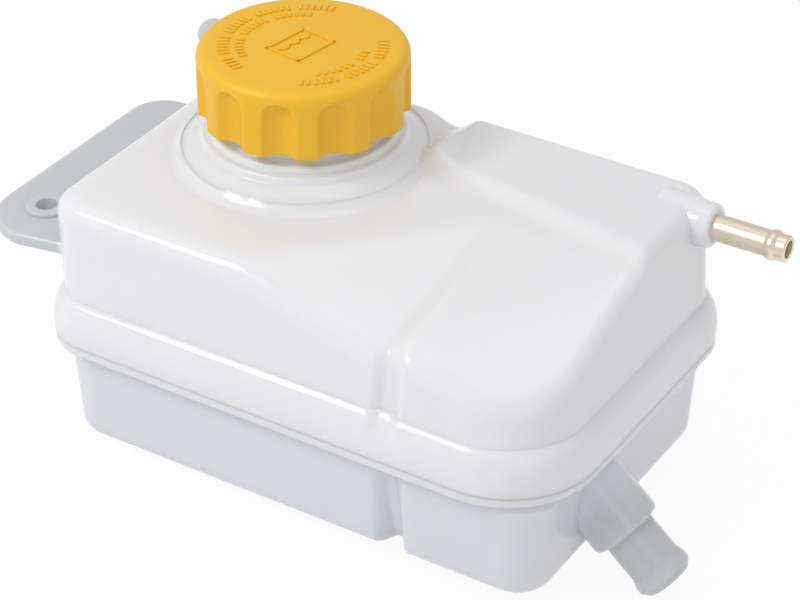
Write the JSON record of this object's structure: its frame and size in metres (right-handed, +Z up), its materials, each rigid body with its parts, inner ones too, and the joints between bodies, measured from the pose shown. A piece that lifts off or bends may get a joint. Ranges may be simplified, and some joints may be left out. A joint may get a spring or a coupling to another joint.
{
  "type": "coolant expansion tank",
  "caption": "Welded translucent plastic coolant tank with a fluted screw cap holding a pressure valve, a steel vent pipe, a sloping hose outlet and a side mounting tab.",
  "frame": {"origin": "where the filler neck's axis meets the plane of the tank's flat bottom", "axes": "+X along the tank towards the vent pipe and outlet, +Y to the back, +Z up along the filler axis"},
  "size_m": [0.2273, 0.1172, 0.1245],
  "materials": {
    "milky_shell": "milky translucent polypropylene",
    "yellow_cap": "satin moulded plastic",
    "plated_steel": "yellow passivated zinc plate",
    "dark_housing": "moulded plastic",
    "seal_rubber": "moulded rubber",
    "valve_steel": "stamped and coiled stainless steel"
  },
  "bodies": {
    "tank": {"upper_shell": "milky_shell", "lower_shell": "milky_shell", "vent_pipe": "plated_steel"},
    "valve_housing": {"cap_insert": "dark_housing", "cap_gasket": "seal_rubber", "insert_o_ring": "seal_rubber", "pressure_spring": "valve_steel"},
    "screw_cap": {"cap_shell": "yellow_cap"},
    "pressure_valve": {"pressure_plate": "valve_steel", "pressure_seal": "seal_rubber", "vacuum_spring": "valve_steel"},
    "vacuum_valve_body": {"vacuum_valve": "valve_steel", "vacuum_clip": "valve_steel"}
  },
  "joints": [
    {"name": "cap_rise", "type": "slide", "parent": "tank", "child": "valve_housing", "axis": [0, 0, 1], "range_m": [0, 0.01]},
    {"name": "cap_turn", "type": "hinge", "parent": "valve_housing", "child": "screw_cap", "pos_m": [0, 0, 0.1], "axis": [0, 0, 1], "range_deg": [0, 721]},
    {"name": "pressure_lift", "type": "slide", "parent": "valve_housing", "child": "pressure_valve", "axis": [0, 0, 1], "range_m": [0, 0.002], "stiffness_N_per_m": 2500, "springref_m": -0.004, "deforming": ["pressure_spring"]},
    {"name": "vacuum_drop", "type": "slide", "parent": "pressure_valve", "child": "vacuum_valve_body", "axis": [0, 0, -1], "range_m": [0, 0.0012], "stiffness_N_per_m": 150, "springref_m": -0.002, "deforming": ["vacuum_spring"]}
  ],
  "couplings": [
    {"joint": "cap_turn", "follows": "cap_rise", "rad_per_m": 1256.6}
  ]
}
